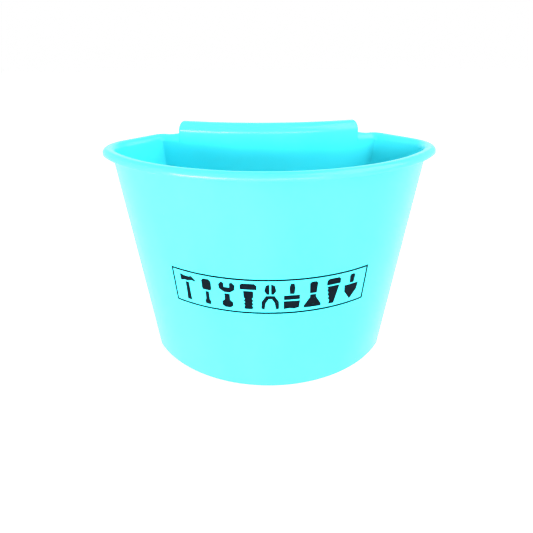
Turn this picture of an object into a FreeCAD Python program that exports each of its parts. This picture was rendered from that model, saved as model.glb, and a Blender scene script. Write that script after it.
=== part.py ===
import FreeCAD, Part
import math
import os
import Sketcher

# Hang-on tool organizer tub for the rim of a pail, in millimetres.
# X runs along the width, -Y is the front that faces the user, +Z is up.
# The origin is on the flat base, in the middle of the overall width and depth.
# The real tub is one moulding: its nodes are its walls, floor, rim and hanger,
# which meet face to face. The printed band is a film of ink on the front wall.

DIMENSIONS = {
    # heights and thicknesses
    "rim_height": 147.0,        # top of the rolled rim above the base
    "floor_thick": 2.2,
    "floor_round": 1.8,         # rounding under the edge of the floor
    "wall_thick": 2.0,
    # plan of the outer wall at the base, about the centre of the front arc
    "front_radius": 94.0,
    "corner_radius": 8.5,
    "corner_across": 72.7,      # corner arc centre, sideways from the middle
    "side_angle": 38.1,         # direction that the outside of a side wall faces
    "draft_angle": 5.25,        # front, corners and sides lean out this much
    "arc_centre": 58.92,        # centre of the front arc, behind the origin
    # the hollow back that hugs the pail
    "pail_radius": 155.3,       # rear face of the back wall, at the foot of the rim
    "pail_behind": 128.0,       # axis of the pail, behind the centre of the front arc
    "back_draft": 1.0,
    "knuckle_outer": 5.0,       # rounding where a side wall meets the back wall
    "knuckle_inner": 1.0,
    # rolled rim
    "lip_inner_roll": 4.0,      # the wall turns out over this radius and height
    "lip_outer_roll": 3.3,
    "lip_thick": 1.9,
    "lip_skirt": 1.1,           # straight part of the turned-down edge
    # hanger
    "hook_half_angle": 22.1,
    "hook_top": 156.0,
    "hook_roll": 6.0,           # outer radius of the roll over the pail's rim
    "hook_drop": 22.0,          # top of the roll down to the tip of the rear leg
    # printed band
    "ink_thick": 0.2,
    "band_low": 61.3,           # middle of the lower printed line
    "band_high": 84.2,          # middle of the upper printed line
    "band_half_angle": 34.4,
    "band_line": 1.15,
    "band_end_line": 0.6,       # width of the two end lines, as an angle
    "mark_level": 72.8,
    "mark_pitch": 7.1,          # angle from one printed mark to the next
}

# Printed marks, from left to right: plain tool shapes, each cut in two or three
# parts as a stencil would be. A part is a loop of points, 17.6 mm tall at most.
MARKS = {
    "hammer": [
        [(-5.2, 4.2), (-3.6, 4.2), (-3, 4.8), (1, 4.8), (2.6, 5.6), (5.2, 5.2), (5.2, 6.2),
         (2.6, 8.6), (1, 7.8), (-3, 7.8), (-3.6, 8.4), (-5.2, 8.4)],
        [(-2.1, -8.8), (0.9, -8.8), (0.5, 3.8), (-1.7, 3.8)],
    ],
    "screwdriver": [
        [(-2.4, 1.2), (2.4, 1.2), (3, 2.4), (3, 7.4), (1.8, 8.8), (-1.8, 8.8), (-3, 7.4), (-3, 2.4)],
        [(-1.6, -8.8), (1.6, -8.8), (2, -6.9), (1.1, -5), (1.1, 0.2), (-1.1, 0.2), (-1.1, -5),
         (-2, -6.9)],
    ],
    "wrench": [
        [(-1.6, 1.8), (1.6, 1.8), (4.6, 3.8), (4.9, 6.8), (3.2, 8.8), (1.7, 8), (1.7, 5.2),
         (-1.7, 5.2), (-1.7, 8), (-3.2, 8.8), (-4.9, 6.8), (-4.6, 3.8)],
        [(-1.6, 0.8), (-1.6, -3.4), (-3.3, -5), (-3.3, -7.4), (-1.7, -8.8), (1.7, -8.8),
         (3.3, -7.4), (3.3, -5), (1.6, -3.4), (1.6, 0.8)],
    ],
    "bolt": [
        [(-4.8, 4.8), (4.8, 4.8), (4.8, 7.6), (3.6, 8.8), (-3.6, 8.8), (-4.8, 7.6)],
        [(-2, -8.8), (2, -8.8), (2.8, -7.6), (2, -6.4), (2.8, -5.2), (2, -4), (2.8, -2.8),
         (2, -1.6), (2.8, -0.4), (2.8, 3.8), (-2.8, 3.8), (-2.8, -0.4), (-2, -1.6), (-2.8, -2.8),
         (-2, -4), (-2.8, -5.2), (-2, -6.4), (-2.8, -7.6)],
    ],
    "pliers": [
        [(-0.5, 8.8), (-2.6, 7.8), (-3.4, 4.2), (-1.9, 1.8), (-0.5, 1.8)],
        [(0.5, 8.8), (0.5, 1.8), (1.9, 1.8), (3.4, 4.2), (2.6, 7.8)],
        [(-2.4, 0.8), (-5, -3.4), (-5.1, -8.2), (-3.3, -8.8), (-2.6, -4.2), (-0.9, -1.4),
         (0.9, -1.4), (2.6, -4.2), (3.3, -8.8), (5.1, -8.2), (5, -3.4), (2.4, 0.8)],
    ],
    "brush": [
        [(-1.3, 1.8), (1.3, 1.8), (1.7, 6), (1, 8.8), (-1, 8.8), (-1.7, 6)],
        [(-4.6, -2.2), (4.6, -2.2), (4.6, 0.8), (-4.6, 0.8)],
        [(-4.5, -8.8), (-1.4, -8.2), (1.6, -8.8), (4.3, -8), (4.8, -3.2), (-4.8, -3.2)],
    ],
    "scraper": [
        [(-2, 1), (2, 1), (2.4, 7.8), (1.3, 8.8), (-1.3, 8.8), (-2.4, 7.8)],
        [(-5.2, -8.8), (5.2, -8.8), (5.2, -7.2), (1.8, -1.8), (1.8, 0), (-1.8, 0), (-1.8, -1.8),
         (-5.2, -7.2)],
    ],
    "saw": [
        [(-4.4, 4.6), (4.4, 4.6), (4.4, 7.6), (3.2, 8.8), (-3.2, 8.8), (-4.4, 7.6)],
        [(-4.4, 3.6), (-3.3, 2.2), (-3.9, 0.8), (-2.8, -0.6), (-3.4, -2), (-2.3, -3.4),
         (-2.9, -4.8), (-1.8, -6.2), (-2.3, -8.8), (1.2, -8.8), (3.8, 3.6)],
    ],
    "trowel": [
        [(-1.4, 2.8), (1.4, 2.8), (1.8, 7.8), (1, 8.8), (-1, 8.8), (-1.8, 7.8)],
        [(-4.9, 1.8), (4.9, 1.8), (4.3, -2.8), (0, -8.8), (-4.3, -2.8)],
    ],
}

BEYOND = 10.0                   # how far a cutting tool runs past what it cuts, in mm or degrees
PLAN_REAR = 20.0                # how far behind the arc centre the plan runs, before the pail is cut out
SLAB_SIDE = 400.0               # side of a square that is larger than the tub
BLOCK_OUTWARDS = "120"          # size of the block that holds one side wall, square to that wall
BLOCK_BACKWARDS = "60"          # and along it
RIM_FOOT = "Dims.rim_height - Dims.lip_inner_roll"

doc = FreeCAD.newDocument("pail_organizer")


def make_sheet():
    """Write the driving dimensions into a spreadsheet, one alias per row."""
    sheet = doc.addObject("Spreadsheet::Sheet", "Dims")
    for row, (alias, value) in enumerate(DIMENSIONS.items(), start=1):
        sheet.set(f"A{row}", alias)
        sheet.set(f"B{row}", str(value))
        sheet.setAlias(f"B{row}", alias)
    doc.recompute()
    return sheet


SHEET = make_sheet()


def dim(alias):
    """Read one driving dimension back from the sheet."""
    return float(SHEET.get(alias))


def bind(thing, **formulas):
    """Bind properties to formulas of the sheet; __ in a name stands for a dot."""
    for name, formula in formulas.items():
        thing.setExpression(name.replace("__", "."), formula)
    return thing


def add(kind, name, **formulas):
    """Add an object to the document and bind its sizes."""
    return bind(doc.addObject(kind, name), **formulas)


def cut(name, base, tool):
    """Take the tool away from the base."""
    result = doc.addObject("Part::Cut", name)
    result.Base = base
    result.Tool = tool
    return result


def common(name, base, tool):
    """Keep what the base and the tool share."""
    result = doc.addObject("Part::Common", name)
    result.Base = base
    result.Tool = tool
    return result


def round_edges(name, base, radius, picks):
    """Round the edges of base that picks(edge) chooses."""
    doc.recompute()
    result = doc.addObject("Part::Fillet", name)
    result.Base = base
    numbers = [n for n, edge in enumerate(base.Shape.Edges, start=1) if picks(edge)]
    result.Edges = [(number, radius, radius) for number in numbers]
    return result


def sketch_on(body, name, role):
    """Make a sketch attached to one of its own body's origin planes."""
    plane = next(item for item in body.Origin.OriginFeatures if item.Role == role)
    sketch = body.newObject("Sketcher::SketchObject", name)
    sketch.AttachmentSupport = (plane, [""])
    sketch.MapMode = "FlatFace"
    return sketch


def drive(sketch, name, formula, *constraint):
    """Add a named constraint to a sketch and bind it to a formula."""
    index = sketch.addConstraint(Sketcher.Constraint(*constraint))
    sketch.renameConstraint(index, name)
    sketch.setExpression(f"Constraints.{name}", formula)


def tie(sketch, kind, *sets):
    """Add one constraint of a kind for each set of lines and their ends."""
    for lines_and_ends in sets:
        sketch.addConstraint(Sketcher.Constraint(kind, *lines_and_ends))


def arc(centre, radius, start, end):
    """Make a circular arc from start to end, in degrees anticlockwise."""
    circle = Part.Circle(FreeCAD.Vector(*centre, 0), FreeCAD.Vector(0, 0, 1), radius)
    return Part.ArcOfCircle(circle, math.radians(start), math.radians(end))


def line(start, end):
    """Make a straight line between two points of a sketch."""
    return Part.LineSegment(FreeCAD.Vector(*start, 0), FreeCAD.Vector(*end, 0))


def mirrored(point):
    """Give the point on the other side of the middle."""
    return (-point[0], point[1])


class Plan:
    """The plan of the wall's outer face at one height, about the centre of the front arc."""

    def __init__(self, grown):
        """Work out the arcs and the side line where the wall has grown outwards this much."""
        self.facing = dim("side_angle")
        self.out = (math.cos(math.radians(self.facing)), math.sin(math.radians(self.facing)))
        self.front = dim("front_radius") + grown
        self.corner = dim("corner_radius") + grown
        across = dim("corner_across")
        ahead = math.sqrt((self.front - self.corner) ** 2 - across**2)
        self.centre = (across, -ahead)
        self.turn = math.degrees(math.atan2(across, ahead))
        self.side_start = tuple(c + self.corner * n for c, n in zip(self.centre, self.out))

    def along_side(self, length):
        """Give the point this far back along the right side wall."""
        return (self.side_start[0] - length * self.out[1], self.side_start[1] + length * self.out[0])

    def knuckle(self, radius):
        """Give the centre of an arc that rounds the side wall into the pail's circle."""
        pail = (0.0, dim("pail_behind"))
        inner = tuple(p - radius * n for p, n in zip(self.side_start, self.out))
        reach = dim("pail_radius") + radius
        ahead = (inner[0] - pail[0], inner[1] - pail[1])
        half = -ahead[0] * self.out[1] + ahead[1] * self.out[0]
        length = -half - math.sqrt(half**2 - ahead[0] ** 2 - ahead[1] ** 2 + reach**2)
        return (inner[0] - length * self.out[1], inner[1] + length * self.out[0])


def tub_solid(name, level, inset, inset_now):
    """Pad the plan upwards from a level to the foot of the rim, leaning out with the draft.

    level and inset are formulas: the height of the plan, and how far it lies inside the
    outer wall as that is at the base. inset_now is what the second one gives.
    """
    body = doc.addObject("PartDesign::Body", f"{name}_body")
    sketch = sketch_on(body, f"{name}_plan", "XY_Plane")
    bind(sketch, AttachmentOffset__Base__y="Dims.arc_centre", AttachmentOffset__Base__z=level)
    plan = Plan(-inset_now)
    start = plan.side_start
    end = plan.along_side((PLAN_REAR - start[1]) / plan.out[0])
    sketch.addGeometry(arc((0, 0), plan.front, 270 - plan.turn, 270 + plan.turn))
    sketch.addGeometry(arc(plan.centre, plan.corner, plan.turn - 90, plan.facing))
    sketch.addGeometry(line(start, end))
    sketch.addGeometry(line(end, mirrored(end)))
    sketch.addGeometry(line(mirrored(end), mirrored(start)))
    sketch.addGeometry(arc(mirrored(plan.centre), plan.corner, 180 - plan.facing, 270 - plan.turn))
    tie(sketch, "Tangent", (0, 2, 1, 1), (1, 2, 2, 1), (4, 2, 5, 1), (5, 2, 0, 1))
    tie(sketch, "Coincident", (2, 2, 3, 1), (3, 2, 4, 1), (0, 3, -1, 1))
    tie(sketch, "Symmetric", (1, 3, 5, 3, -2), (2, 2, 4, 1, -2))
    drive(sketch, "front", f"Dims.front_radius - ({inset})", "Radius", 0, plan.front)
    drive(sketch, "corner", f"Dims.corner_radius - ({inset})", "Radius", 1, plan.corner)
    drive(sketch, "across", "Dims.corner_across", "DistanceX", -1, 1, 1, 3, plan.centre[0])
    drive(sketch, "rear", str(PLAN_REAR), "DistanceY", -1, 1, 2, 2, PLAN_REAR)
    lean = math.radians(90 + plan.facing)
    drive(sketch, "lean", "(90 + Dims.side_angle) * 1 deg", "Angle", 2, lean)
    pad = body.newObject("PartDesign::Pad", f"{name}_pad")
    pad.Profile = sketch
    bind(pad, Length=f"{RIM_FOOT} - ({level})", TaperAngle="Dims.draft_angle")
    return body


def pail_cone(name, gap):
    """Make the pail as a tapered plug, a gap larger than the back wall's rear face."""
    rise = "tan(Dims.back_draft * 1 deg)"
    return add(
        "Part::Cone",
        name,
        Radius1=f"Dims.pail_radius + {gap} + ({RIM_FOOT} + {BEYOND}) * {rise}",
        Radius2=f"Dims.pail_radius + {gap} - {BEYOND} * {rise}",
        Height=f"{RIM_FOOT} + {2 * BEYOND}",
        Placement__Base__y="Dims.arc_centre + Dims.pail_behind",
        Placement__Base__z=f"-{BEYOND}",
    )


def is_knuckle(edge):
    """Tell whether an edge runs up the tub where a side wall meets the pail's cone."""
    ends = [vertex.Point for vertex in edge.Vertexes]
    middle = edge.valueAt((edge.FirstParameter + edge.LastParameter) / 2)
    pail_y = dim("arc_centre") + dim("pail_behind")
    away = math.hypot(middle.x, middle.y - pail_y) - dim("pail_radius")
    tall = len(ends) == 2 and abs(ends[0].z - ends[1].z) > dim("rim_height") / 2
    return tall and 0 < away < 2 * dim("wall_thick") + 1


def hollow_back(name, body, plug, radius):
    """Cut the pail out of a tub solid and round the two knuckles that this leaves."""
    return round_edges(f"{name}_rounded", cut(f"{name}_hugging", body, plug), radius, is_knuckle)


def is_underside(edge):
    """Tell whether an edge lies in the base plane."""
    return max(vertex.Z for vertex in edge.Vertexes) < dim("floor_thick") / 2


def side_block(name, hand):
    """Make the block that holds one side wall; hand is 1 on the right and -1 on the left."""
    plan = Plan(0)
    size = (BLOCK_OUTWARDS, BLOCK_BACKWARDS) if hand > 0 else (BLOCK_BACKWARDS, BLOCK_OUTWARDS)
    block = add("Part::Box", name, Length=size[0], Width=size[1], Height=f"Dims.rim_height + {2 * BEYOND}")
    block.Placement = FreeCAD.Placement(
        FreeCAD.Vector(hand * plan.centre[0], plan.centre[1] + dim("arc_centre"), -BEYOND),
        FreeCAD.Rotation(FreeCAD.Vector(0, 0, 1), plan.facing if hand > 0 else 90 - plan.facing),
    )
    return block


def make_tub():
    """Make the floor and the walls up to the foot of the rim, as five parts."""
    slope = math.radians(dim("draft_angle"))
    inside = "Dims.wall_thick / cos(Dims.draft_angle * 1 deg)"
    inside += " - Dims.floor_thick * tan(Dims.draft_angle * 1 deg)"
    inside_now = dim("wall_thick") / math.cos(slope) - dim("floor_thick") * math.tan(slope)
    plug = pail_cone("pail_plug", "0")
    larger_plug = pail_cone("larger_pail_plug", "Dims.wall_thick")
    outer = hollow_back("outer", tub_solid("outer", "0", "0", 0.0), plug, dim("knuckle_outer"))
    inner = tub_solid("cavity", "Dims.floor_thick", inside, inside_now)
    cavity = hollow_back("cavity", inner, larger_plug, dim("knuckle_inner"))

    slab = add("Part::Box", "slab", Length=f"{SLAB_SIDE}", Width=f"{SLAB_SIDE}", Height="Dims.floor_thick",
               Placement__Base__x=f"-{SLAB_SIDE} / 2", Placement__Base__y=f"-{SLAB_SIDE} / 2")
    floor = round_edges("floor_part", common("floor_plate", outer, slab), dim("floor_round"), is_underside)
    walls = cut("walls", cut("shell", outer, cavity), slab)
    back = common("back_part", walls, larger_plug)
    around = cut("walls_around", walls, larger_plug)
    right_block = side_block("right_block", 1)
    left_block = side_block("left_block", -1)
    right = common("right_part", around, right_block)
    left = common("left_part", around, left_block)
    front = cut("front_part", cut("front_and_left", around, right_block), left_block)
    return {
        "floor": floor,
        "front_wall": front,
        "right_side_wall": right,
        "left_side_wall": left,
        "back_wall": back,
    }


def rim_section(body):
    """Draw the rolled rim's section at the middle of the front, from the wall's outer face.

    The sketch's x is the distance backwards from that face, and its y the height above
    the foot of the rim.
    """
    sketch = sketch_on(body, "rim_section", "YZ_Plane")
    foot_radius = f"(Dims.front_radius + ({RIM_FOOT}) * tan(Dims.draft_angle * 1 deg))"
    bind(sketch, AttachmentOffset__Base__x=f"Dims.arc_centre - {foot_radius}",
         AttachmentOffset__Base__y=RIM_FOOT)
    inner_roll = dim("lip_inner_roll")
    outer_roll = dim("lip_outer_roll")
    thick = dim("lip_thick")
    crest = -(inner_roll - dim("wall_thick"))
    turn = inner_roll - outer_roll
    low = turn - dim("lip_skirt")
    outside = crest - outer_roll
    inside = outside + thick
    sketch.addGeometry(arc((crest, 0), inner_roll, 0, 90))
    sketch.addGeometry(arc((crest, turn), outer_roll, 90, 180))
    sketch.addGeometry(line((outside, turn), (outside, low)))
    sketch.addGeometry(line((outside, low), (inside, low)))
    sketch.addGeometry(line((inside, low), (inside, turn)))
    sketch.addGeometry(arc((crest, turn), outer_roll - thick, 90, 180))
    sketch.addGeometry(arc((crest, 0), inner_roll - thick, 0, 90))
    sketch.addGeometry(line((crest + inner_roll - thick, 0), (crest + inner_roll, 0)))
    return sketch


def rim_path(body):
    """Draw the right half of the line that the rim follows: the wall's outer face at its foot."""
    sketch = sketch_on(body, "rim_path", "XY_Plane")
    bind(sketch, AttachmentOffset__Base__y="Dims.arc_centre", AttachmentOffset__Base__z=RIM_FOOT)
    foot = dim("rim_height") - dim("lip_inner_roll")
    plan = Plan(foot * math.tan(math.radians(dim("draft_angle"))))
    knuckle = dim("knuckle_outer")
    centre = plan.knuckle(knuckle)
    pail = (0.0, dim("pail_behind"))
    to_pail = math.degrees(math.atan2(pail[1] - centre[1], pail[0] - centre[0]))
    side_end = tuple(c + knuckle * n for c, n in zip(centre, plan.out))
    sketch.addGeometry(arc((0, 0), plan.front, 270, 270 + plan.turn))
    sketch.addGeometry(arc(plan.centre, plan.corner, plan.turn - 90, plan.facing))
    sketch.addGeometry(line(plan.side_start, side_end))
    sketch.addGeometry(arc(centre, knuckle, plan.facing, to_pail))
    sketch.addGeometry(arc(pail, dim("pail_radius"), 270 + dim("hook_half_angle"), 180 + to_pail))
    return sketch


def make_rim():
    """Make the turned-out, turned-down rim that runs round the front from hanger to hanger."""
    body = doc.addObject("PartDesign::Body", "rim_body")
    pipe = body.newObject("PartDesign::AdditivePipe", "rim_half")
    pipe.Profile = rim_section(body)
    pipe.Spine = rim_path(body)
    doc.recompute()
    middle = next(item for item in body.Origin.OriginFeatures if item.Role == "YZ_Plane")
    mirror = body.newObject("PartDesign::Mirrored", "rim_whole")
    mirror.Originals = [pipe]
    mirror.MirrorPlane = (middle, [""])
    body.Tip = mirror
    return {"rolled_rim": body}


def make_hanger():
    """Make the hanger: the back wall runs on up, rolls backwards and drops a rear leg."""
    body = doc.addObject("PartDesign::Body", "hanger_body")
    sketch = sketch_on(body, "hanger_section", "YZ_Plane")
    bind(sketch, AttachmentOffset__Base__x="Dims.arc_centre + Dims.pail_behind")
    thick = dim("wall_thick")
    front = -(dim("pail_radius") + thick)
    roll = dim("hook_roll")
    foot = dim("rim_height") - dim("lip_inner_roll")
    level = dim("hook_top") - roll
    tip = dim("hook_top") - dim("hook_drop")
    rear = front + 2 * roll
    sketch.addGeometry(line((front, foot), (front, level)))
    sketch.addGeometry(arc((front + roll, level), roll, 0, 180))
    sketch.addGeometry(line((rear, level), (rear, tip)))
    sketch.addGeometry(arc((rear - thick / 2, tip), thick / 2, 180, 360))
    sketch.addGeometry(line((rear - thick, tip), (rear - thick, level)))
    sketch.addGeometry(arc((front + roll, level), roll - thick, 0, 180))
    sketch.addGeometry(line((front + thick, level), (front + thick, foot)))
    sketch.addGeometry(line((front + thick, foot), (front, foot)))
    turn = body.newObject("PartDesign::Revolution", "hanger_turn")
    turn.Profile = sketch
    turn.ReferenceAxis = (sketch, ["V_Axis"])
    turn.Midplane = True
    bind(turn, Angle="2 * Dims.hook_half_angle")
    return {"hanger_hook": body}


def wall_sector(name, grown, low, high, half_angle):
    """Make a solid sector of the front wall's cone between two heights.

    grown, low, high and half_angle are formulas; grown is how far it stands off the wall.
    """
    return add(
        "Part::Cone",
        name,
        Radius1=f"Dims.front_radius + ({grown}) + ({low}) * tan(Dims.draft_angle * 1 deg)",
        Radius2=f"Dims.front_radius + ({grown}) + ({high}) * tan(Dims.draft_angle * 1 deg)",
        Height=f"({high}) - ({low})",
        Angle=f"2 * ({half_angle})",
        Placement__Base__y="Dims.arc_centre",
        Placement__Base__z=low,
        Placement__Rotation__Angle=f"270 - ({half_angle})",
    )


def mark_sketch(name, loops, azimuth):
    """Draw one printed mark on a plane across the direction that it faces."""
    sketch = doc.addObject("Sketcher::SketchObject", f"{name}_outline")
    for loop in loops:
        for start, end in zip(loop, loop[1:] + loop[:1]):
            sketch.addGeometry(line(start, end))
    upright = FreeCAD.Rotation(FreeCAD.Vector(1, 0, 0), 90)
    facing = FreeCAD.Rotation(FreeCAD.Vector(0, 0, 1), azimuth)
    sketch.Placement = FreeCAD.Placement(
        FreeCAD.Vector(0, dim("arc_centre"), dim("mark_level")), facing.multiply(upright)
    )
    return sketch


def make_print():
    """Make the printed band: a bordered strip and a row of tool shapes, as thin ink."""
    half_line = "Dims.band_line / 2"
    half_end = "Dims.band_end_line / 2"
    low = f"Dims.band_low - {half_line}"
    high = f"Dims.band_high + {half_line}"
    film = wall_sector("ink_face", "Dims.ink_thick", low, high, f"Dims.band_half_angle + {half_end}")
    wall = wall_sector("ink_back", "0", low, high, f"Dims.band_half_angle + {BEYOND}")
    strip = cut("ink_strip", film, wall)
    window = wall_sector("ink_window", f"{BEYOND}", f"Dims.band_low + {half_line}",
                         f"Dims.band_high - {half_line}", f"Dims.band_half_angle - {half_end}")
    parts = {"print_border": cut("border_part", strip, window)}
    first = -(len(MARKS) - 1) / 2
    for place, (name, loops) in enumerate(MARKS.items()):
        block = doc.addObject("Part::Extrusion", f"{name}_block")
        block.Base = mark_sketch(name, loops, (first + place) * dim("mark_pitch"))
        block.DirMode = "Normal"
        block.Solid = True
        bind(block, LengthFwd=f"Dims.front_radius + {2 * BEYOND}")
        parts[f"print_{name}"] = common(f"{name}_part", strip, block)
    return parts


def check(parts):
    """Stop if any object of the document failed or any sub-part isn't a valid solid."""
    for thing in doc.Objects:
        if "Invalid" in thing.State or "Error" in thing.State:
            raise RuntimeError(f"{thing.Name} did not recompute: {thing.State}")
    for name, part in parts.items():
        if part.Shape.isNull() or not part.Shape.isValid() or not part.Shape.Solids:
            raise RuntimeError(f"{name} is not a valid solid")


def export(parts):
    """Write each sub-part's shape to a file with its own name."""
    os.makedirs("parts", exist_ok=True)
    for name, part in parts.items():
        part.Label = name
        part.Shape.exportStep(f"parts/{name}.step")


def main():
    """Build the sub-parts, check them and write them out."""
    parts = {**make_tub(), **make_rim(), **make_hanger(), **make_print()}
    doc.recompute()
    check(parts)
    export(parts)
    whole = Part.makeCompound([part.Shape for part in parts.values()]).optimalBoundingBox()
    print(f"{len(parts)} parts, X {whole.XMin:.2f} to {whole.XMax:.2f}, "
          f"Y {whole.YMin:.2f} to {whole.YMax:.2f}, Z {whole.ZMin:.2f} to {whole.ZMax:.2f}")
    for name, part in parts.items():
        print(f"{name}: {part.Shape.Volume / 1000:.2f} cm3, {len(part.Shape.Solids)} solid(s)")


main()
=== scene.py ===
"""Hang-on tool organizer tub for the rim of a pail: its moulded walls, rim and hanger, and its print.

Lengths are in metres and angles in radians. X runs along the width, -Y is the front that faces the
user and +Z is up. The tub's plan is made of arcs about the centre of its front arc, which lies
behind the origin, and of arcs about the axis of the pail, further behind.
"""

import logging
from dataclasses import dataclass, field
from enum import Enum
from math import atan2, cos, pi, radians, sin, sqrt, tan

import bpy
import numpy as np
from mathutils import Matrix, Vector
from numpy.typing import NDArray


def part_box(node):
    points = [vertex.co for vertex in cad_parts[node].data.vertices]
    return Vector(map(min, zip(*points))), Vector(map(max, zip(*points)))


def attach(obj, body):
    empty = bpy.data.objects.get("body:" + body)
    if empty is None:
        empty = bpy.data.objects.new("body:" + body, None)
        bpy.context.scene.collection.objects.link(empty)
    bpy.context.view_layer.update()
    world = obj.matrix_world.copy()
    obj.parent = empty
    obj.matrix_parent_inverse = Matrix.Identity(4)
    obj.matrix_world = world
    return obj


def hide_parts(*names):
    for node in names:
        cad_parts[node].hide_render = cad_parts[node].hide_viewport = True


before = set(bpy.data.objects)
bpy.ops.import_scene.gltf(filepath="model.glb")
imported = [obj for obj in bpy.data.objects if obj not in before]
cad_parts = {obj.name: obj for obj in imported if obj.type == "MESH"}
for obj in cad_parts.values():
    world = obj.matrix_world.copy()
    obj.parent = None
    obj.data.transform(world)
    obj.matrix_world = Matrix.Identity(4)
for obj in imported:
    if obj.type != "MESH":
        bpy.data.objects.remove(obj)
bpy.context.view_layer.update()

log = logging.getLogger("tub")

Floats = NDArray[np.float64]
Numbers = NDArray[np.int64]
Colour = tuple[float, float, float]

MM = 0.001
BODY = "root"


class Slot(Enum):
    """Material slots of the record."""

    PLASTIC = "tub_plastic"
    INK = "print_ink"


class Stretch(Enum):
    """Stretches of the right half of the tub's plan, with the steps that each is divided into."""

    FRONT = ("front", 90)
    CORNER = ("corner", 26)
    SIDE = ("side", 8)
    KNUCKLE = ("knuckle", 16)
    BACK = ("back", 60)

    @property
    def steps(self) -> int:
        """Number of steps along the stretch."""
        return self.value[1]


# Sizes -----------------------------------------------------------------------------------------


@dataclass(frozen=True)
class TubPlan:
    """The tub's plan at any height.

    The front, corners and sides lean out with the draft, the back leans in towards the tub. A plan
    may lie a distance inside the outer face, which makes the front, corner and side smaller and the
    pail's circle larger.
    """

    wall: float = 2.0 * MM
    front_radius: float = 94.0 * MM
    corner_radius: float = 8.5 * MM
    corner_across: float = 72.7 * MM
    side_facing: float = radians(38.1)
    draft: float = radians(5.25)
    arc_centre: float = 58.92 * MM
    pail_radius: float = 155.3 * MM
    pail_behind: float = 128.0 * MM
    hanger_half_angle: float = radians(22.1)
    back_draft: float = radians(1.0)
    outer_knuckle: float = 5.0 * MM
    inner_knuckle: float = 1.0 * MM
    foot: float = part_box("front_wall")[1].z
    floor_top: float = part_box("floor")[1].z

    @property
    def corner_ahead(self) -> float:
        """Distance of the corner arc's centre in front of the front arc's centre."""
        return sqrt((self.front_radius - self.corner_radius) ** 2 - self.corner_across**2)

    @property
    def corner_turn(self) -> float:
        """Angle from the middle of the front to the corner, about the front arc's centre."""
        return atan2(self.corner_across, self.corner_ahead)

    def growth(self, heights: Floats, inside: Floats | float = 0.0) -> Floats:
        """Give how far the plan has grown: height times the draft's tangent, less what it lies inside."""
        return heights * tan(self.draft) - inside

    def pail(self, heights: Floats, inside: Floats | float = 0.0) -> Floats:
        """Give the radius of the pail's circle: larger lower down, and larger by what it lies inside."""
        return self.pail_radius + (self.foot - heights) * tan(self.back_draft) + inside

    def knuckle_centre(self, growth: Floats, rear: Floats, radius: Floats) -> Floats:
        """Find the centres of the arcs that round the side wall into the pail's circle.

        A centre lies its radius inside the side's line and its radius outside the circle, so it is
        where that inner line meets a circle larger by the radius: a quadratic along the line.

        Args:
            growth: Growth of the plan, one value per height.
            rear: Radius of the pail's circle, one value per height.
            radius: Radius of the knuckle, one value per height.

        Returns:
            One point per height, about the front arc's centre.
        """
        out = np.array([cos(self.side_facing), sin(self.side_facing)])
        along = np.array([-out[1], out[0]])
        corner = np.array([self.corner_across, -self.corner_ahead])
        start = corner + (self.corner_radius + growth - radius)[:, None] * out
        away = start - np.array([0.0, self.pail_behind])
        half = away @ along
        length = -half - np.sqrt(half**2 - (away**2).sum(1) + (rear + radius) ** 2)
        return start + length[:, None] * along

    def stretch(
        self, which: Stretch, growth: Floats, rear: Floats, knuckle: Floats, stop: float = -pi / 2
    ) -> tuple[Floats, Floats]:
        """Work out one stretch of the right half of the plan at several heights.

        An arc is its centre plus its radius times the direction that turns evenly from one angle to
        another; the side is the straight line between the ends of the corner and the knuckle.

        Args:
            which: The stretch.
            growth: Growth of the plan, one value per height.
            rear: Radius of the pail's circle, one value per height.
            knuckle: Radius of the knuckle, one value per height.
            stop: Angle about the pail's axis where the back ends, -pi / 2 in the middle.

        Returns:
            Points and the directions square to the wall that point out of it, both of the shape
            heights by steps + 1 by 2, about the front arc's centre.
        """
        share = np.linspace(0.0, 1.0, which.steps + 1)
        ones = np.ones_like(growth)
        corner = np.array([self.corner_across, -self.corner_ahead])
        pail = np.array([0.0, self.pail_behind])
        bend = self.knuckle_centre(growth, rear, knuckle)
        to_pail = np.arctan2(pail[1] - bend[:, 1], pail[0] - bend[:, 0])
        front_end = self.corner_turn - pi / 2
        facing = self.side_facing
        if which is Stretch.SIDE:
            out = np.array([cos(facing), sin(facing)])
            start = corner + (self.corner_radius + growth)[:, None] * out
            end = bend + knuckle[:, None] * out
            points = start[:, None] + (end - start)[:, None] * share[None, :, None]
            return points, np.broadcast_to(out, points.shape)
        arcs = {
            Stretch.FRONT: (0 * corner, self.front_radius + growth, -pi / 2 * ones, front_end * ones, 1),
            Stretch.CORNER: (corner, self.corner_radius + growth, front_end * ones, facing * ones, 1),
            Stretch.KNUCKLE: (bend[:, None], knuckle, facing * ones, to_pail, 1),
            Stretch.BACK: (pail, rear, to_pail - pi, stop * ones, -1),
        }
        centre, radius, first, last, sign = arcs[which]
        angle = first[:, None] + (last - first)[:, None] * share
        out = np.stack([np.cos(angle), np.sin(angle)], -1)
        return centre + radius[:, None, None] * out, sign * out

    def half(
        self, stretches: tuple[Stretch, ...], heights: Floats, inside: Floats, knuckle: Floats
    ) -> Floats:
        """Join stretches of the right half of the plan into one grid of points.

        Args:
            stretches: The stretches, in order.
            heights: Height of each row.
            inside: How far each row lies inside the outer face.
            knuckle: Knuckle radius of each row.

        Returns:
            Points of the shape heights by columns by 3.
        """
        growth = self.growth(heights, inside)
        rear = self.pail(heights, inside)
        runs = [self.stretch(which, growth, rear, knuckle)[0] for which in stretches]
        flat = np.concatenate([runs[0], *(run[:, 1:] for run in runs[1:])], axis=1)
        tall = np.broadcast_to(heights[:, None, None], flat.shape[:2] + (1,))
        return np.concatenate([flat + [0.0, self.arc_centre], tall], axis=-1)


PLAN = TubPlan()


# Meshes ----------------------------------------------------------------------------------------


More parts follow.
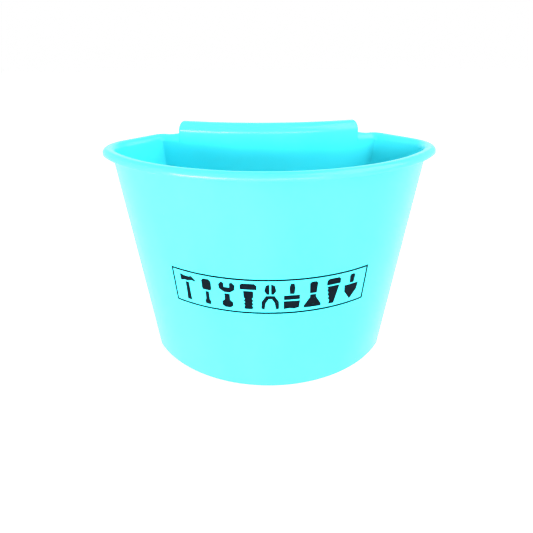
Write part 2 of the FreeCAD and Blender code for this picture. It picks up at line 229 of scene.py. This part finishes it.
def flipped(points: Floats) -> Floats:
    """Give the same points on the other side of the middle."""
    return points * [-1.0, 1.0, 1.0]


def both_halves(half: Floats) -> Floats:
    """Join a half grid that starts in the middle to its mirror image, from left to right."""
    return np.concatenate([flipped(half[:, :0:-1]), half], axis=1)


def grid_quads(numbers: Numbers) -> Numbers:
    """Give the quads of a grid of vertex numbers, one row of four numbers per quad."""
    corners = [numbers[:-1, :-1], numbers[:-1, 1:], numbers[1:, 1:], numbers[1:, :-1]]
    return np.stack(corners, -1).reshape(-1, 4)


def closed_volume(points: Floats, quads: Numbers, caps: list[list[int]]) -> float:
    """Add up the signed volume under every face: a third of the sum of a . (b x c) / 2 over fans.

    Args:
        points: Vertices, one row each.
        quads: Four vertex numbers per row.
        caps: Faces with more corners, as lists of vertex numbers.

    Returns:
        The volume, negative where the faces point inwards.
    """
    fans = [quads[:, [0, 1, 2]], quads[:, [0, 2, 3]]]
    for cap in caps:
        rim = np.array(cap)
        fans.append(np.stack([np.full(len(rim) - 2, rim[0]), rim[1:-1], rim[2:]], -1))
    a, b, c = (points[np.concatenate(fans)[:, k]] for k in range(3))
    return float(np.einsum("ij,ij->", a, np.cross(b, c)) / 6.0)


def make_piece(
    name: str, points: Floats, quads: Numbers, caps: list[list[int]], crease: float
) -> bpy.types.Object:
    """Make a closed piece from its points and faces, turned outwards and smoothly shaded.

    Args:
        name: Name of the piece.
        points: Vertices, one row each, in the tub's own frame.
        quads: Four vertex numbers per row.
        caps: Faces with more corners, as lists of vertex numbers.
        crease: Edges that bend more than this stay sharp.

    Returns:
        The piece, which sits at the origin with its place in its mesh.
    """
    faces = quads.tolist() + caps
    if closed_volume(points, quads, caps) < 0.0:
        faces = [face[::-1] for face in faces]
    mesh = bpy.data.meshes.new(name)
    mesh.from_pydata(points.tolist(), [], faces)
    mesh.shade_smooth()
    mesh.set_sharp_from_angle(angle=crease)
    mesh.validate()
    mesh.update()
    piece = bpy.data.objects.new(name, mesh)
    bpy.context.scene.collection.objects.link(piece)
    return piece


def sheet_piece(name: str, outer: Floats, inner: Floats, crease: float = radians(35.0)) -> bpy.types.Object:
    """Make a closed piece from its two faces: grids of the same size, joined round their border.

    Args:
        name: Name of the piece.
        outer: One face, rows by columns by 3.
        inner: The other face, point for point behind the first.
        crease: Edges that bend more than this stay sharp.

    Returns:
        The piece.
    """
    rows, columns = outer.shape[:2]
    front = np.arange(rows * columns).reshape(rows, columns)
    rear = front + rows * columns
    sides = [
        np.stack([rear[0], front[0]]),
        np.stack([front[-1], rear[-1]]),
        np.stack([front[:, 0], rear[:, 0]]),
        np.stack([rear[:, -1], front[:, -1]]),
    ]
    quads = np.concatenate([grid_quads(front), grid_quads(rear[:, ::-1]), *(grid_quads(s) for s in sides)])
    points = np.concatenate([outer.reshape(-1, 3), inner.reshape(-1, 3)])
    return make_piece(name, points, quads, [], crease)


def ring_piece(name: str, rings: Floats, crease: float = radians(35.0)) -> bpy.types.Object:
    """Make a closed piece from rings one above the other, with a flat face on the first and last.

    Args:
        name: Name of the piece.
        rings: Rings by points by 3; each ring closes on itself.
        crease: Edges that bend more than this stay sharp.

    Returns:
        The piece.
    """
    rows, columns = rings.shape[:2]
    numbers = np.arange(rows * columns).reshape(rows, columns)
    around = np.concatenate([numbers, numbers[:, :1]], axis=1)
    caps = [numbers[0, ::-1].tolist(), numbers[-1].tolist()]
    return make_piece(name, rings.reshape(-1, 3), grid_quads(around), caps, crease)


def rounding(distance: Floats, radius: float) -> Floats:
    """Give how far a rounded end has fallen back: the radius less a quarter circle's height.

    Args:
        distance: Distance from the end.
        radius: Radius of the rounding.

    Returns:
        The radius at the end itself, and nothing once the distance is the radius or more.
    """
    reach = np.clip(radius - distance, 0.0, radius)
    return radius - np.sqrt(radius**2 - reach**2)


def towards_end(length: float, radius: float, steps: int = 7) -> Floats:
    """Give places from an end up to a length away, close together over the rounding at the end."""
    turn = np.linspace(0.0, pi / 2, steps)
    return np.concatenate([radius * (1.0 - np.cos(turn)), [length]])


# Shader building -------------------------------------------------------------------------------


class Wire:
    """A socket of a material's nodes; arithmetic on values adds Math nodes."""

    def __init__(self, graph: "Graph", socket: bpy.types.NodeSocket) -> None:
        """Keep the graph and the socket."""
        self.graph = graph
        self.socket = socket

    def maths(self, operation: str, first: "Wire | float", second: "Wire | float" = 0.0) -> "Wire":
        """Add one Math node.

        Args:
            operation: The node's operation.
            first: First value.
            second: Second value.

        Returns:
            The node's value.
        """
        inputs = {"Value": first, "Value_001": second}
        return self.graph.node("ShaderNodeMath", {"operation": operation}, inputs, "Value")

    def __add__(self, other: "Wire | float") -> "Wire":
        """Add."""
        return self.maths("ADD", self, other)

    __radd__ = __add__

    def __sub__(self, other: "Wire | float") -> "Wire":
        """Subtract."""
        return self.maths("SUBTRACT", self, other)

    def __rsub__(self, other: float) -> "Wire":
        """Subtract from a number."""
        return self.maths("SUBTRACT", other, self)

    def __mul__(self, other: "Wire | float") -> "Wire":
        """Multiply."""
        return self.maths("MULTIPLY", self, other)

    __rmul__ = __mul__

    def over(self, limit: float) -> "Wire":
        """Give 1 where the value is over the limit and 0 elsewhere."""
        return self.maths("GREATER_THAN", self, limit)


class Graph:
    """The nodes of one new material or world."""

    def __init__(self, owner: bpy.types.Material | bpy.types.World) -> None:
        """Start with no nodes at all.

        Args:
            owner: The new material or world, whose nodes are replaced.
        """
        self.owner = owner
        self.owner.use_nodes = True
        self.tree = self.owner.node_tree
        self.tree.nodes.clear()

    def node(self, kind: str, settings: dict[str, object], inputs: dict[str, object], result: str) -> Wire:
        """Add any node.

        Args:
            kind: The node's type.
            settings: Its properties, set first; "stops" are a colour ramp's places and colours.
            inputs: A number, colour or wire for each socket, by its identifier.
            result: Identifier of the output to use.

        Returns:
            That output.
        """
        made = self.tree.nodes.new(kind)
        for name, value in settings.items():
            if name == "stops":
                self.set_stops(made.color_ramp, value)
            else:
                setattr(made, name, value)
        sockets = {socket.identifier: socket for socket in made.inputs}
        for name, value in inputs.items():
            if isinstance(value, Wire):
                self.tree.links.new(value.socket, sockets[name])
            else:
                sockets[name].default_value = value
        outputs = {socket.identifier: socket for socket in made.outputs}
        return Wire(self, outputs[result])

    @staticmethod
    def set_stops(ramp: bpy.types.ColorRamp, stops: list[tuple[float, float]]) -> None:
        """Set a ramp's stops to grey levels at places.

        Args:
            ramp: The colour ramp.
            stops: A place and a level for each stop, in order.
        """
        while len(ramp.elements) < len(stops):
            ramp.elements.new(1.0)
        for element, (place, level) in zip(ramp.elements, stops):
            element.position = place
            element.color = (level, level, level, 1.0)

    def place(self, stretch: tuple[float, float, float] = (1.0, 1.0, 1.0)) -> Wire:
        """Give the point in the tub's own frame, stretched along its axes."""
        point = self.node("ShaderNodeTexCoord", {}, {}, "Object")
        return self.node("ShaderNodeMapping", {}, {"Vector": point, "Scale": stretch}, "Vector")

    def noise(self, place: Wire, scale: float, detail: float = 2.0, rough: float = 0.5) -> Wire:
        """Add a noise of this many waves a metre, from 0 to 1 and about 0.5 on average."""
        inputs = {"Vector": place, "Scale": scale, "Detail": detail, "Roughness": rough}
        return self.node("ShaderNodeTexNoise", {}, inputs, "Fac")

    def ramp(self, value: Wire, stops: list[tuple[float, float]]) -> Wire:
        """Bend a value with a ramp of grey levels."""
        return self.node("ShaderNodeValToRGB", {"stops": stops}, {"Fac": value}, "Color")

    def mix(self, share: Wire, first: Colour | Wire, second: Colour | Wire) -> Wire:
        """Mix two colours.

        Args:
            share: How much of the second colour, from 0 to 1.
            first: First colour.
            second: Second colour.

        Returns:
            The mixed colour.
        """
        colours = [c if isinstance(c, Wire) else (*c, 1.0) for c in (first, second)]
        inputs = {"Factor_Float": share, "A_Color": colours[0], "B_Color": colours[1]}
        return self.node("ShaderNodeMix", {"data_type": "RGBA"}, inputs, "Result_Color")

    def bump(self, height: Wire, depth: float, strength: float) -> Wire:
        """Turn a height from 0 to 1, of this depth in metres, into a normal."""
        inputs = {"Height": height, "Distance": depth, "Strength": strength}
        return self.node("ShaderNodeBump", {}, inputs, "Normal")

    def finish(self, **inputs: object) -> bpy.types.Material:
        """Add the surface shader and the output, and return the material.

        Args:
            inputs: The shader's sockets, with _ for each space in their names.

        Returns:
            The finished material.
        """
        named = {name.replace("_", " "): value for name, value in inputs.items()}
        self.end(self.node("ShaderNodeBsdfPrincipled", {}, named, "BSDF"))
        return self.owner

    def end(self, surface: Wire) -> None:
        """Add the output and link the surface or the sky to it.

        Args:
            surface: What the output shows.
        """
        kind = "World" if isinstance(self.owner, bpy.types.World) else "Material"
        output = self.tree.nodes.new(f"ShaderNodeOutput{kind}")
        self.tree.links.new(surface.socket, output.inputs["Surface"])


# Finishes --------------------------------------------------------------------------------------


@dataclass(frozen=True)
class MouldedPlastic:
    """Glossy polypropylene as it comes out of a polished mould, a little cloudy and lightly scuffed."""

    name: str = "turquoise_polypropylene"
    thin: Colour = (0.066, 0.87, 0.98)
    dense: Colour = (0.056, 0.84, 0.96)
    gloss: float = 0.16
    scuffed: float = 0.24
    glow_depth: float = 4.0 * MM
    glow: float = 0.12
    flow_waves: float = 28.0
    cloud_waves: float = 160.0
    scuff_waves: float = 900.0
    worn_waves: float = 22.0
    mould_waves: float = 90.0
    grain_waves: float = 1600.0
    bump_depth: float = 0.12 * MM

    def material(self) -> bpy.types.Material:
        """Make the material.

        The colour drifts slowly with the melt's flow, drawn out along the height. Roughness follows
        fine cloudiness and sparse scuffs along the height. The bump is the mould's faint waviness
        under a finer grain.

        Returns:
            The material.
        """
        graph = Graph(bpy.data.materials.new(self.name))
        place = graph.place()
        flow = graph.noise(graph.place((1.0, 1.0, 0.35)), self.flow_waves, 3.0)
        cloud = graph.noise(place, self.cloud_waves, 3.0, 0.6)
        scratches = graph.noise(graph.place((1.0, 1.0, 0.06)), self.scuff_waves, 2.0)
        scuffs = graph.ramp(scratches, [(0.64, 0.0), (0.74, 1.0)])
        worn = scuffs * graph.ramp(graph.noise(place, self.worn_waves), [(0.48, 0.0), (0.66, 1.0)])
        waves = graph.noise(place, self.mould_waves, 1.0)
        grain = graph.noise(place, self.grain_waves, 2.0)
        colour = graph.mix(graph.ramp(flow, [(0.3, 0.0), (0.7, 1.0)]), self.thin, self.dense)
        rough = self.gloss + 0.07 * cloud + (self.scuffed - self.gloss) * worn
        height = 0.9 * waves + 0.1 * grain
        return graph.finish(
            Base_Color=colour,
            Roughness=rough,
            IOR=1.49,
            Specular_IOR_Level=0.3,
            Subsurface_Weight=self.glow,
            Subsurface_Radius=(0.25, 1.0, 1.0),
            Subsurface_Scale=self.glow_depth,
            Normal=graph.bump(height, self.bump_depth, 0.35),
        )


@dataclass(frozen=True)
class ScreenInk:
    """Blue-black screen-printed ink: dense, slightly uneven, with the weave of the screen in it."""

    name: str = "blue_black_ink"
    full: Colour = (0.0012, 0.0035, 0.0065)
    lean: Colour = (0.0030, 0.0065, 0.0110)
    plastic: Colour = (0.040, 0.40, 0.46)
    gloss: float = 0.38
    coat_waves: float = 260.0
    hole_waves: float = 1500.0
    weave_waves: float = 900.0
    bump_depth: float = 0.02 * MM

    def material(self) -> bpy.types.Material:
        """Make the material.

        The colour goes between a full and a lean coat, with rare pinholes where the plastic shows.
        The bump is the screen's weave, a product of two fine waves, under the coat's unevenness.

        Returns:
            The material.
        """
        graph = Graph(bpy.data.materials.new(self.name))
        place = graph.place()
        coat = graph.ramp(graph.noise(place, self.coat_waves, 4.0, 0.6), [(0.35, 0.0), (0.7, 1.0)])
        holes = graph.noise(place, self.hole_waves, 1.0).over(0.80)
        weave = [
            graph.node(
                "ShaderNodeTexWave",
                {"wave_type": "BANDS", "bands_direction": direction},
                {"Vector": place, "Scale": self.weave_waves, "Distortion": 0.6},
                "Fac",
            )
            for direction in ("X", "Z")
        ]
        colour = graph.mix(holes, graph.mix(coat, self.full, self.lean), self.plastic)
        height = 0.5 * weave[0] * weave[1] + 0.5 * coat - 0.6 * holes
        return graph.finish(
            Base_Color=colour,
            Roughness=self.gloss + 0.14 * coat,
            Specular_IOR_Level=0.03,
            Normal=graph.bump(height, self.bump_depth, 0.5),
        )


@dataclass(frozen=True)
class StudioPaper:
    """Plain white paper on a light table, which glows a little from below."""

    name: str = "white_paper"
    shade: float = 0.60
    tooth_shade: float = 0.62
    glow: float = 0.96
    tooth_waves: float = 700.0

    def material(self) -> bpy.types.Material:
        """Make the material: an even white with a barely uneven tooth, and an even glow.

        Returns:
            The material.
        """
        graph = Graph(bpy.data.materials.new(self.name))
        tooth = graph.noise(graph.place(), self.tooth_waves, 3.0)
        colour = graph.mix(tooth, (self.shade,) * 3, (self.tooth_shade,) * 3)
        return graph.finish(
            Base_Color=colour,
            Roughness=0.9 + 0.05 * tooth,
            Emission_Color=colour,
            Emission_Strength=self.glow,
        )


# Sub-assemblies --------------------------------------------------------------------------------


@dataclass
class Moulding:
    """A part of the one moulding: what its walls, floor, rim and hanger share."""

    plan: TubPlan = PLAN
    made: list[bpy.types.Object] = field(default_factory=list)

    def keep(self, piece: bpy.types.Object, *nodes: str) -> None:
        """Let a piece ride on the tub, stand for its CAD nodes and take its finish from the plastic.

        Args:
            piece: The finished piece.
            nodes: CAD nodes that it stands for.
        """
        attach(piece, BODY)
        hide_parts(*nodes)
        self.made.append(piece)

    def dress(self, material: bpy.types.Material) -> None:
        """Give every piece the material and report it.

        Args:
            material: The plastic.
        """
        for piece in self.made:
            piece.data.materials.append(material)
            log.info("%s: %d faces, %s", piece.name, len(piece.data.polygons), material.name)


@dataclass
class Walls(Moulding):
    """The front wall with its corners, the two side walls with their knuckles, and the back wall."""

    rows: int = 25

    def faces(self, *stretches: Stretch) -> tuple[Floats, Floats]:
        """Work out the outer and the inner face of some stretches, from the floor to the rim's foot.

        Both faces are ruled straight up between two plans of the same wall, and the inner one is
        the wall's thickness behind, measured square to the lean.

        Args:
            stretches: The stretches of the plan, in order.

        Returns:
            The outer and the inner grid of points, for the right half.
        """
        heights = np.linspace(self.plan.floor_top, self.plan.foot, self.rows)
        ones = np.ones_like(heights)
        behind = self.plan.wall / cos(self.plan.draft) * ones
        outer = self.plan.half(stretches, heights, 0 * ones, self.plan.outer_knuckle * ones)
        inner = self.plan.half(stretches, heights, behind, self.plan.inner_knuckle * ones)
        return outer, inner

    def build(self) -> None:
        """Make the four walls."""
        outer, inner = self.faces(Stretch.FRONT, Stretch.CORNER)
        self.keep(sheet_piece("tub_front_wall", both_halves(outer), both_halves(inner)), "front_wall")
        outer, inner = self.faces(Stretch.SIDE, Stretch.KNUCKLE)
        self.keep(sheet_piece("tub_right_side_wall", outer, inner), "right_side_wall")
        self.keep(sheet_piece("tub_left_side_wall", flipped(outer), flipped(inner)), "left_side_wall")
        outer, inner = (face[:, ::-1] for face in self.faces(Stretch.BACK))
        self.keep(sheet_piece("tub_back_wall", both_halves(outer), both_halves(inner)), "back_wall")


@dataclass
class Floor(Moulding):
    """The floor, rounded under its edge and filleted up into the walls inside."""

    edge_round: float = 1.8 * MM
    inner_fillet: float = 1.6 * MM
    smallest_knuckle: float = 0.2 * MM
    steps: int = 9

    def ring(self, heights: Floats, inside: Floats, knuckle: Floats) -> Floats:
        """Join both halves of the plan into closed rings round the whole floor, one per height."""
        half = self.plan.half(tuple(Stretch), heights, inside, knuckle)
        return np.concatenate([half[:, :-1], flipped(half[:, :0:-1])], axis=1)

    def build(self) -> None:
        """Make the floor.

        Its section goes from the flat underside round a quarter arc that ends square to the leaning
        wall, up to the floor's top, in across the wall's foot, up the wall's inner face and back
        down a quarter arc to the flat floor inside.
        """
        plan = self.plan
        lean = plan.draft
        turn = np.linspace(-pi / 2, -lean, self.steps)
        low = self.edge_round * (1.0 + np.sin(turn))
        low_in = low * tan(lean) - self.edge_round * (tan(lean) - 1.0 / cos(lean) + np.cos(turn))
        wall = plan.wall / cos(lean)
        fall = np.linspace(0.0, pi / 2, self.steps)
        high = plan.floor_top + self.inner_fillet * (1.0 - np.sin(fall))
        high_in = wall + self.inner_fillet * (1.0 - np.cos(fall))
        heights = np.concatenate([low, [plan.floor_top, plan.floor_top], high])
        inside = np.concatenate([low_in, [0.0, wall], high_in])
        outer_knuckle = plan.outer_knuckle - low_in
        inner_knuckle = np.maximum(plan.inner_knuckle + wall - high_in, self.smallest_knuckle)
        knuckle = np.concatenate([outer_knuckle, [plan.outer_knuckle, plan.inner_knuckle], inner_knuckle])
        self.keep(ring_piece("tub_floor", self.ring(heights, inside, knuckle)), "floor")


@dataclass
class RolledRim(Moulding):
    """The rim that turns out and down round the front, sides and shoulders, up to the hanger."""

    crest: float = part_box("rolled_rim")[1].z
    skirt_foot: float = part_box("rolled_rim")[0].z
    outer_roll: float = 3.27 * MM
    edge_round: float = 0.7 * MM
    rise: float = 1.6 * MM
    rise_length: float = 11.0 * MM
    rise_power: float = 1.5
    arc_steps: int = 12
    edge_steps: int = 5
    skirt_steps: int = 3

    def line(self) -> tuple[Floats, Floats, Floats]:
        """Work out the line that the rim follows: the wall's outer face at the foot of the rim.

        Returns:
            Points and outward directions from the left end round the front to the right end, and
            the wall's lean at each point, which eases from the front's to the back's over the knuckle.
        """
        plan = self.plan
        foot = np.array([plan.foot])
        stop = plan.hanger_half_angle - pi / 2
        knuckle = np.array([plan.outer_knuckle])
        points, directions, leans = [], [], []
        for which in Stretch:
            run, out = plan.stretch(which, plan.growth(foot), plan.pail(foot), knuckle, stop)
            skip = 0 if which is Stretch.FRONT else 1
            ease = {Stretch.KNUCKLE: np.linspace(0, 1, which.steps + 1), Stretch.BACK: 1.0}.get(which, 0.0)
            lean = plan.draft + (plan.back_draft - plan.draft) * ease * np.ones(which.steps + 1)
            points.append(run[0, skip:])
            directions.append(out[0, skip:])
            leans.append(lean[skip:])
        half = [np.concatenate(part) for part in (points, directions)]
        lean = np.concatenate(leans)
        whole = [np.concatenate([part[:0:-1] * [-1.0, 1.0], part]) for part in half]
        return whole[0] + [0.0, plan.arc_centre], whole[1], np.concatenate([lean[:0:-1], lean])

    def section(self, lean: Floats) -> tuple[Floats, Floats]:
        """Work out the rim's upper and under faces, point for point, for each lean of the wall.

        The upper face leaves the wall's inner face along its lean, turns over the inner roll to the
        crest and over the outer roll to the skirt. The under face is the same a wall's thickness
        inside, and the two close on each other round the skirt's edge.

        Args:
            lean: Lean of the wall at each point of the rim's line.

        Returns:
            Two grids of (outward distance from the wall's outer face, height), line by section.
        """
        plan = self.plan
        inner_roll = self.crest - plan.foot
        crest_out = inner_roll - plan.wall
        drop = inner_roll - self.outer_roll
        ones = np.ones((len(lean), 1))
        share = np.linspace(0.0, 1.0, self.arc_steps + 1)
        first = (pi - lean)[:, None] + (lean - pi / 2)[:, None] * share
        second = (pi / 2 * (1.0 - share[1:])) * ones
        edge = np.linspace(0.0, pi / 2, self.edge_steps + 1)[1:-1]
        skirt_end = self.skirt_foot + self.edge_round
        straight = np.linspace(plan.foot + drop, skirt_end, self.skirt_steps + 1)[1:] * ones
        close = self.edge_round * (1.0 - np.cos(edge)) * ones
        fall = (self.skirt_foot + self.edge_round * (1.0 - np.sin(edge))) * ones

        def face(thickness: float, side: float) -> Floats:
            """Work out one face of the rim.

            Args:
                thickness: How far the face lies under the upper one.
                side: 1 for the upper face and -1 for the under face.

            Returns:
                Outward distance and height of each point, line by section.
            """
            big = inner_roll - thickness
            small = self.outer_roll - thickness
            skirt = crest_out + small
            across = [
                (thickness - plan.wall) * ones,
                crest_out + big * np.cos(first),
                crest_out + small * np.cos(second),
                skirt * np.ones_like(straight),
                skirt - side * close,
            ]
            tall = [
                plan.foot * ones,
                plan.foot + big * np.sin(first),
                plan.foot + drop + small * np.sin(second),
                straight,
                fall,
            ]
            return np.stack([np.concatenate(across, axis=1), np.concatenate(tall, axis=1)], -1)

        return face(0.0, 1.0), face(plan.wall, -1.0)

    def build(self) -> None:
        """Make the rim: the section carried along the line, a little higher where it meets the hanger."""
        points, out, lean = self.line()
        along = np.concatenate([[0.0], np.cumsum(np.hypot(*np.diff(points, axis=0).T))])
        from_end = np.minimum(along, along[-1] - along)
        near = np.clip(1.0 - from_end / self.rise_length, 0.0, 1.0)
        raised = 1.0 + self.rise / (self.crest - self.plan.foot) * near**self.rise_power
        grids = []
        for face in self.section(lean):
            flat = points[:, None] + out[:, None] * face[..., :1]
            above = face[..., 1] - self.plan.foot
            tall = self.plan.foot + above * np.where(above > 0.0, raised[:, None], 1.0)
            grids.append(np.concatenate([flat, tall[..., None]], -1))
        self.keep(sheet_piece("tub_rolled_rim", *grids), "rolled_rim")


@dataclass
class Hanger(Moulding):
    """The wide hanger: the back wall runs on up, rolls over backwards and drops a rear leg."""

    top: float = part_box("hanger_hook")[1].z
    tip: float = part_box("hanger_hook")[0].z
    roll: float = 6.0 * MM
    top_corner: float = 1.7 * MM
    leg_corner: float = 6.0 * MM
    edge_round: float = 0.7 * MM
    steps: int = 70
    end_steps: int = 12
    roll_steps: int = 32
    edge_steps: int = 6
    stem_steps: int = 5
    leg_steps: int = 6

    def section(self) -> tuple[Floats, Floats]:
        """Work out the hanger's outer and inner faces as (radius about the pail's axis, height).

        Each is a straight stem, a half circle over the pail's rim and a straight leg that ends in a
        half-round tip; the inner half circle is the wall's thickness smaller.

        Returns:
            The outer and the inner face, point for point.
        """
        wall = self.plan.wall
        middle = self.plan.pail_radius + wall - self.roll
        level = self.top - self.roll
        tip_level = self.tip + wall / 2
        turn = np.linspace(0.0, pi, self.roll_steps + 1)
        edge = np.linspace(0.0, pi / 2, self.edge_steps + 1)[1:-1]
        faces = []
        for radius, side in ((self.roll, 1.0), (self.roll - wall, -1.0)):
            leg = middle - radius
            tip_centre = middle - self.roll + wall / 2
            across = [
                np.full(self.stem_steps, middle + radius),
                middle + radius * np.cos(turn),
                np.full(self.leg_steps, leg),
                tip_centre - side * wall / 2 * np.cos(edge),
            ]
            tall = [
                np.linspace(self.plan.foot, level, self.stem_steps + 1)[:-1],
                level + radius * np.sin(turn),
                np.linspace(level, tip_level, self.leg_steps + 1)[1:],
                tip_level - wall / 2 * np.sin(edge),
            ]
            faces.append(np.stack([np.concatenate(across), np.concatenate(tall)], -1))
        return faces[0], faces[1]

    def build(self) -> None:
        """Make the hanger: the section turned about the pail's axis.

        Near each end the top comes down and the leg's tip goes up by a quarter circle's height, and
        the two faces close on each other round the edge.
        """
        outer, inner = self.section()
        reach = self.plan.pail_radius * self.plan.hanger_half_angle
        end = np.concatenate([towards_end(self.top_corner, self.edge_round), [self.leg_corner]])
        even = np.linspace(0.0, self.leg_corner, self.end_steps + 1)
        fine = np.unique(np.concatenate([end, even]))
        middle = np.linspace(self.leg_corner, 2 * reach - self.leg_corner, self.steps)[1:-1]
        along = np.concatenate([fine, middle, (2 * reach - fine)[::-1]])
        from_end = np.minimum(along, 2 * reach - along)
        angle = (along / reach - 1.0) * self.plan.hanger_half_angle
        closing = 1.0 - rounding(from_end, self.edge_round) / (self.plan.wall / 2)
        drop = rounding(from_end, self.top_corner)
        lift = rounding(from_end, self.leg_corner)
        level = self.top - self.roll
        past_roll = np.arange(len(outer)) > len(outer) // 2
        grids = []
        for side in (1.0, -1.0):
            half = side * (outer - inner) / 2
            flat = (outer + inner) / 2 + half * closing[:, None, None]
            radius, tall = flat[..., 0], flat[..., 1]
            above = np.clip((tall - self.plan.foot) / (self.top - self.plan.foot), 0.0, 1.0)
            share = np.where(past_roll, np.clip((level - tall) / (level - self.tip), 0.0, 1.0), 0.0)
            tall = tall - drop[:, None] * above * (1.0 - share) + lift[:, None] * share
            x = radius * np.sin(angle)[:, None]
            y = self.plan.arc_centre + self.plan.pail_behind - radius * np.cos(angle)[:, None]
            grids.append(np.stack([x, y, tall], -1))
        self.keep(sheet_piece("tub_hanger", *grids), "hanger_hook")


@dataclass
class PrintedBand:
    """The printed band: its border and its row of plain tool shapes, which stay as the CAD made them."""

    prefix: str = "print_"

    def dress(self, material: bpy.types.Material) -> None:
        """Give every printed node the ink and report it.

        Args:
            material: The ink.
        """
        for name, node in sorted(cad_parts.items()):
            if name.startswith(self.prefix):
                node.data.materials.clear()
                node.data.materials.append(material)
                log.info("%s: %d faces, %s", name, len(node.data.polygons), material.name)


# Studio ----------------------------------------------------------------------------------------


@dataclass(frozen=True)
class Lamp:
    """A rectangular soft lamp, aimed at a point of the tub."""

    name: str
    place: tuple[float, float, float]
    aim: tuple[float, float, float]
    size: tuple[float, float]
    power: float
    colour: Colour = (1.0, 1.0, 1.0)

    def hang(self) -> None:
        """Put the lamp into the scene."""
        light = bpy.data.lights.new(self.name, "AREA")
        light.shape = "RECTANGLE"
        light.size, light.size_y = self.size
        light.energy = self.power
        light.color = self.colour
        lamp = bpy.data.objects.new(self.name, light)
        lamp.location = self.place
        lamp.rotation_euler = (Vector(self.aim) - Vector(self.place)).to_track_quat("-Z", "Y").to_euler()
        bpy.context.scene.collection.objects.link(lamp)


@dataclass(frozen=True)
class Studio:
    """White paper, a sky that is brightest along the horizon, soft lamps and the camera.

    The camera stands camera_back in front of the centre of the tub's front arc.
    """

    floor_half: float = 4.0
    overhead: float = 0.56
    horizon: float = 1.0
    horizon_band: tuple[float, float] = (0.22, 0.60)
    camera_across: float = -2.95 * MM
    camera_back: float = 309.61 * MM
    camera_height: float = 200.21 * MM
    pitch: float = radians(27.19)
    yaw: float = 0.0023
    roll: float = 0.0074
    sensor: float = 36.0
    lens: float = 29.052
    shift: tuple[float, float] = (0.0048, -0.0014)
    lamps: tuple[Lamp, ...] = (
        Lamp("left_window", (-0.62, -0.67, 0.12), (0.0, 0.0, 0.10), (0.60, 0.24), 11.0),
        Lamp("front_fill", (0.05, -1.25, 0.18), (0.0, 0.0, 0.06), (1.40, 0.34), 12.0),
        Lamp("right_top", (0.80, -0.28, 0.85), (0.0, 0.0, 0.12), (1.10, 1.10), 13.0),
        Lamp("rear_top", (0.0, 1.25, 0.75), (0.0, 0.0, 0.14), (1.60, 0.60), 2.5),
    )

    def lay_floor(self, material: bpy.types.Material) -> None:
        """Lay the paper: a flat square grid on the level that the tub stands on.

        Args:
            material: The paper's material.
        """
        side = np.linspace(-self.floor_half, self.floor_half, 9)
        x, y = np.meshgrid(side, side)
        numbers = np.arange(x.size).reshape(x.shape)
        mesh = bpy.data.meshes.new("paper")
        points = np.stack([x, y, 0 * x], -1).reshape(-1, 3)
        mesh.from_pydata(points.tolist(), [], grid_quads(numbers).tolist())
        mesh.materials.append(material)
        paper = bpy.data.objects.new("paper", mesh)
        bpy.context.scene.collection.objects.link(paper)

    def light(self) -> None:
        """Light the tub from all round, most from a band along the horizon, and with the lamps."""
        world = bpy.data.worlds.new("surround")
        graph = Graph(world)
        direction = graph.node("ShaderNodeTexCoord", {}, {}, "Generated")
        upwards = graph.node("ShaderNodeSeparateXYZ", {}, {"Vector": direction}, "Z")
        low, high = self.horizon_band
        band = graph.ramp(upwards, [(low, 1.0), (high, 0.0)])
        strength = self.overhead + (self.horizon - self.overhead) * band
        white = (1.0, 1.0, 1.0, 1.0)
        sky = {"Color": white, "Strength": strength}
        graph.end(graph.node("ShaderNodeBackground", {}, sky, "Background"))
        bpy.context.scene.world = world
        for lamp in self.lamps:
            lamp.hang()

    def set_camera(self) -> None:
        """Put the camera in front of the tub, looking back and down."""
        data = bpy.data.cameras.new("camera")
        data.sensor_width = self.sensor
        data.lens = self.lens
        data.shift_x, data.shift_y = self.shift
        camera = bpy.data.objects.new("camera", data)
        tilt = Matrix.Rotation(pi / 2 - self.pitch, 4, "X") @ Matrix.Rotation(-self.roll, 4, "Z")
        place = (self.camera_across, PLAN.arc_centre - self.camera_back, self.camera_height)
        camera.matrix_world = Matrix.Translation(place) @ Matrix.Rotation(self.yaw, 4, "Z") @ tilt
        bpy.context.scene.collection.objects.link(camera)
        bpy.context.scene.camera = camera
        bpy.context.scene.view_settings.view_transform = "Standard"


def main() -> None:
    """Build the tub, dress it, and set up the studio."""
    logging.basicConfig(level=logging.INFO, format="%(message)s")
    studio = Studio()
    studio.set_camera()
    plastic = MouldedPlastic().material()
    for part in (Walls(), Floor(), RolledRim(), Hanger()):
        part.build()
        part.dress(plastic)
    PrintedBand().dress(ScreenInk().material())
    studio.lay_floor(StudioPaper().material())
    studio.light()


if __name__ == "__main__":
    main()
